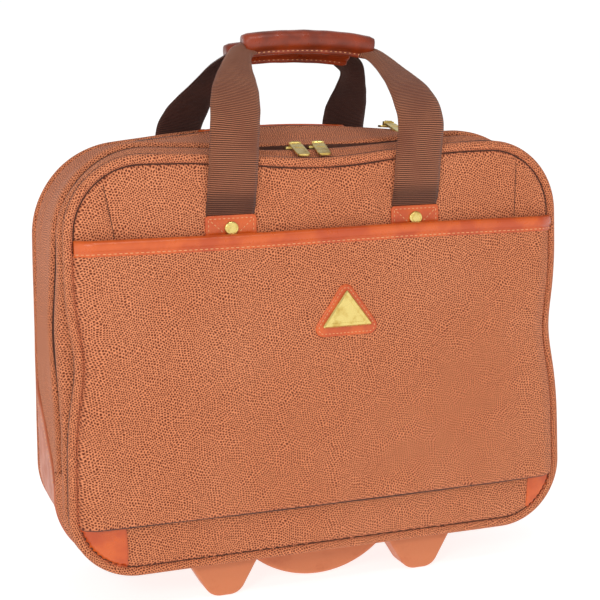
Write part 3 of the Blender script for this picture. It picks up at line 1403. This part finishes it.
def case_liner():
    """The case's lining: walls, back and the low front below the flap."""
    deep = [(45.2, LINING_IN)] + [(d, LINING_IN) for d in range(50, 110, 6)] + [(LINING_BACK, LINING_IN)]
    points, uv, _ = wall_grid(deep, wrinkle=0.8, seed=31)
    parts = [grid_parts(points, uv, closed=True, flip=True)]
    low = [(d, LINING_IN) for d in (10.2, 16, 22, 28, 34, 40, 45.2)]
    points, uv, _ = wall_grid(low, wrinkle=0.4, seed=32)
    keep = ~column_mask(*FLAP_COLUMNS, len(low))
    parts.append(grid_parts(points, uv, closed=True, keep=keep, flip=True))
    rear = coons(*panel_edges(LINING_BACK, 3.4), 70, 60)
    rear[..., 1] = LINING_BACK + ripple(rear, 60, 33) * 0.5
    parts.append(grid_parts(rear, rear[..., [0, 2]]))
    heights = np.linspace(38.5, FOLD_Z - 0.5, 16)
    right = seam_ring(10.2, 3.4)[0][:sum(SEGMENTS[:4])]
    bound = np.interp(heights, right[SEGMENTS[0]:, 2], right[SEGMENTS[0]:, 0])
    x = np.linspace(-1, 1, 60)[None] * bound[:, None]
    z = np.repeat(heights[:, None], 60, axis=1)
    lower = np.stack([x, np.full_like(x, 10.2), z], axis=-1)
    parts.append(grid_parts(lower, lower[..., [0, 2]], flip=True))
    obj = join_parts("case_liner", parts)
    dress(thicken(obj, 0.6, even=False), LINING)
    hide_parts("case_lining")
    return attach(obj, "case")


def lid_liner():
    """The flap's lining: its walls and its inner face."""
    rows = [(d, LINING_IN) for d in (10.4, 16, 22, 28, 35)]
    points, uv, _ = wall_grid(rows, wrinkle=0.4, seed=34)
    keep = column_mask(*FLAP_COLUMNS, len(rows))
    parts = [grid_parts(points, uv, closed=True, keep=keep, flip=True)]
    ring = seam_ring(10.4, 3.2)[0]
    right = ring[FOLD_COLUMN:TOP_CORNER + 1]
    left = ring[COLUMNS - TOP_CORNER:COLUMNS - FOLD_COLUMN + 1][::-1]
    bottom = np.array([left[0], right[0]])
    face = coons(bottom, right, ring[TOP_CORNER:COLUMNS - TOP_CORNER + 1][::-1], left, 80, 64)
    face[..., 1] = 10.0 + ripple(face, 60, 35) * 0.3
    parts.append(grid_parts(face, face[..., [0, 2]], flip=True))
    obj = join_parts("lid_liner", parts)
    dress(thicken(obj, 0.5, even=False), LINING)
    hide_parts("lid_lining")
    return over_flap(obj)


def pocket_sheet(name, x0, x1, z0, z1, base, full, seed):
    """A gathered inside pocket: a sheet sewn down at its sides and foot, open at its top."""
    u, v = np.linspace(0, 1, 60), np.linspace(0, 1, 50)
    x, z = np.meshgrid(x0 + (x1 - x0) * u, z0 + (z1 - z0) * v)
    belly = np.sin(math.pi * u)[None] ** 0.6 * np.sin(math.pi * (0.06 + 0.72 * v))[:, None] ** 0.7
    points = np.stack([x, base + full * belly, z], axis=-1)
    gather = np.sin(u * 42)[None] * smooth(0.86, 1, v)[:, None] * 0.8 * belly
    points[..., 1] += gather + ripple(points, 34, seed) * 0.6 * belly
    obj = grid_object(name, points, points[..., [0, 2]], flip=True)
    dress(thicken(obj, 0.6), LINING)
    over_flap(obj)
    top = points[-1] + (0, 0, 1.0)
    trim = join_parts(f"{name}_edge", [sweep_parts(top, (0, 1, 0), circle_section(1.6, 10, 1.6))])
    dress(trim, TAPE)
    return over_flap(trim)


def organiser():
    """The panel inside the flap, with two pockets and three pen loops."""
    board = pad_object("organiser_board", [(-140, 130), (140, 130), (140, 300), (-140, 300)], 12.0,
                       [(0.4, 10.6), (0, 11.0), (0, 12.2), (0.5, 12.8), (1.4, 13.0), (6, 13.0), (30, 13.0)],
                       220, flip=True)
    dress(board, LINING)
    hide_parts("organizer_panel")
    over_flap(board)
    pocket_sheet("organiser_pocket_left", -134, -4, 134, 236, 13.6, 6.0, 41)
    pocket_sheet("organiser_pocket_right", 4, 134, 134, 214, 13.6, 5.0, 42)
    loops = []
    for n in range(3):
        x = 30 + 22 * n
        arch = ((-8, 13.4), (-7, 17.5), (0, 20.5), (7, 17.5), (8, 13.4))
        spine = [(x + aside, depth, 262) for aside, depth in arch]
        loops.append(sweep_parts(spline(spine, 40), (0, 0, 1), strip_section(18.0, 1.4, 14)))
    pens = join_parts("pen_loops", loops)
    dress(pens, TAPE)
    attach(pens, "lid")


DIVIDER_D = 86.5


def divider():
    """The padded laptop divider: a quilted pad, and the strap that holds it to the back."""
    su, sv = np.meshgrid(np.linspace(-1, 1, 110), np.linspace(-1, 1, 80))
    x = 185.0 * su * np.sqrt(1 - 0.03 * sv ** 6)
    z = 180.0 + 120.0 * sv * np.sqrt(1 - 0.03 * su ** 6)
    body = (1 - su ** 8) ** 0.6 * (1 - sv ** 8) ** 0.6
    quilt = 1.0
    for line in (-120, -60, 0, 60, 120):
        quilt = quilt - 0.45 * bell(line, 3.2, x)
    parts = []
    for face in (-1, 1):
        depth = DIVIDER_D + face * (0.5 + 2.6 * body * quilt)
        points = np.stack([x, depth, z], axis=-1)
        parts.append(grid_parts(points, points[..., [0, 2]], flip=face > 0))
    pad = join_parts("divider_pad", parts)
    middle = np.stack([x, np.full_like(x, DIVIDER_D), z], -1)
    rim = np.concatenate([middle[0], middle[1:, -1], middle[-1, ::-1][1:], middle[::-1, 0][1:-1]])
    dress(pad, LINING)
    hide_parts("laptop_divider")
    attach(pad, "case")
    edge = join_parts("divider_binding",
                      [sweep_parts(rim, (0, 1, 0), circle_section(2.3, 10, 0.8), closed=True)])
    dress(edge, TAPE)
    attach(edge, "case")
    spine = [(0, 83.0, 262), (0, 82.6, 285), (0, 83.4, 299), (0, 88, 304), (0, 100, 304.4), (0, 110.5, 304)]
    band = join_parts("divider_band",
                      [sweep_parts(spline(spine, 90), (1, 0, 0), strip_section(38.0, 1.4, 20))])
    dress(band, STRAP)
    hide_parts("divider_strap")
    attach(band, "case")


def back_pocket():
    """A flat slip pocket on the back with a bound top."""
    half, low, high = 150.0, 92.0, 262.0
    x, z = np.meshgrid(np.linspace(-half, half, 110), np.linspace(low, high, 64))
    rim = np.minimum(half - np.abs(x), z - low)
    points = np.stack([x, 150.3 + 1.9 * smooth(0, 5, rim), z], axis=-1)
    points[..., 1] += ripple(points, 60, 51) * 0.5 * smooth(0, 20, rim)
    obj = grid_object("back_pocket", points, points[..., [0, 2]], flip=True)
    dress(thicken(obj, WALL_CLOTH), SUEDE)
    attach(obj, "case")
    roll = join_parts("back_pocket_roll", [sweep_parts(points[-1], (0, 1, 0), circle_section(1.9, 16, 2.2))])
    dress(roll, LEATHER)
    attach(roll, "case")
    parts = []
    for line in (points[:, 1], points[1], points[:, -2]):
        parts += stitch_parts(line, (0, 1, 0))
    stitches("back_pocket_stitches", parts, "case")


# ---- stage --------------------------------------------------------------
def area_light(name, place, target, size, power):
    """A round lamp of a size in metres, turned towards a point."""
    data = bpy.data.lights.new(name, "AREA")
    data.shape = "DISK"
    data.size, data.energy = size, power
    obj = linked(name, data)
    obj.location = place
    obj.rotation_euler = (Vector(target) - Vector(place)).to_track_quat("-Z", "Y").to_euler()


def stage():
    """A pale floor, a white surround that dims upward, and two lamps in front."""
    mesh = bpy.data.meshes.new("floor")
    reach, below = 30.0, -0.0003
    corners = ((-reach, -reach), (reach, -reach), (reach, reach), (-reach, reach))
    mesh.from_pydata([(x, y, below) for x, y in corners], [], [(0, 1, 2, 3)])
    floor = linked("floor", mesh)
    n = Nodes("floor")
    haze = n.noise(n.place(), 2.0, 2.0)
    n.set(Base_Color=n.mix(haze, (0.42, 0.42, 0.42, 1), (0.46, 0.46, 0.46, 1)), Roughness=0.9)
    n.set(Emission_Color=(1, 1, 1, 1), Emission_Strength=0.8)
    floor.data.materials.append(n.material)
    world = bpy.data.worlds.new("studio")
    world.use_nodes = True
    tree = world.node_tree
    spot = tree.nodes.new("ShaderNodeTexCoord")
    parts = tree.nodes.new("ShaderNodeSeparateXYZ")
    fade = tree.nodes.new("ShaderNodeMapRange")
    tree.links.new(spot.outputs["Generated"], parts.inputs[0])
    tree.links.new(parts.outputs[2], fade.inputs["Value"])
    for name, value in (("From Min", 0.08), ("From Max", 0.5), ("To Min", 1.02), ("To Max", 0.5)):
        fade.inputs[name].default_value = value
    background = tree.nodes["Background"]
    background.inputs["Color"].default_value = (1, 1, 1, 1)
    tree.links.new(fade.outputs["Result"], background.inputs["Strength"])
    scene = bpy.context.scene
    scene.world = world
    scene.view_settings.view_transform = "Standard"
    area_light("key", (-1.15, -1.55, 1.05), (0, 0, 0.2), size=0.5, power=10)
    area_light("top", (0.05, -0.95, 1.5), (0, 0, 0.3), size=0.3, power=3.6)


CAMERA_PLACE = (-0.4047, -1.1509, 0.4228)
CAMERA_TURN = (19.52, -8.92, -1.16)     # yaw, pitch and roll in degrees
LENS = 86.74


def camera():
    """The view from the front left, a little above."""
    yaw, pitch, roll = (math.radians(a) for a in CAMERA_TURN)
    forward = Vector((math.sin(yaw) * math.cos(pitch), math.cos(yaw) * math.cos(pitch),
                      math.sin(pitch)))
    right = Vector((math.cos(yaw), -math.sin(yaw), 0))
    up = right.cross(forward)
    side = right * math.cos(roll) + up * math.sin(roll)
    top = up * math.cos(roll) - right * math.sin(roll)
    data = bpy.data.cameras.new("camera")
    data.sensor_width, data.lens = 36.0, LENS
    data.clip_end = 100
    obj = linked("camera", data)
    turn = Matrix((side, top, -forward)).transposed().to_4x4()
    obj.matrix_world = Matrix.Translation(CAMERA_PLACE) @ turn
    bpy.context.scene.camera = obj


def build():
    """Sets the view and the lights, then makes every piece."""
    camera()
    stage()
    dress_cad()
    front_panel()
    back_panel()
    piping_cords()
    seam_tape("bead_tape", 10.2, 6.7, 1.6, 1.0, 8)
    seam_tape("front_seam_tape", 2.7, 1.2, 0.9, 0.25, 18)
    front_gusset()
    rear_gusset()
    zip_cover()
    main_zip()
    back_zip()
    pocket()
    binding()
    handle_tabs()
    badge()
    corner_leathers()
    side_leathers()
    bezel_trim()
    straps()
    grips()
    case_liner()
    lid_liner()
    organiser()
    divider()
    back_pocket()


build()
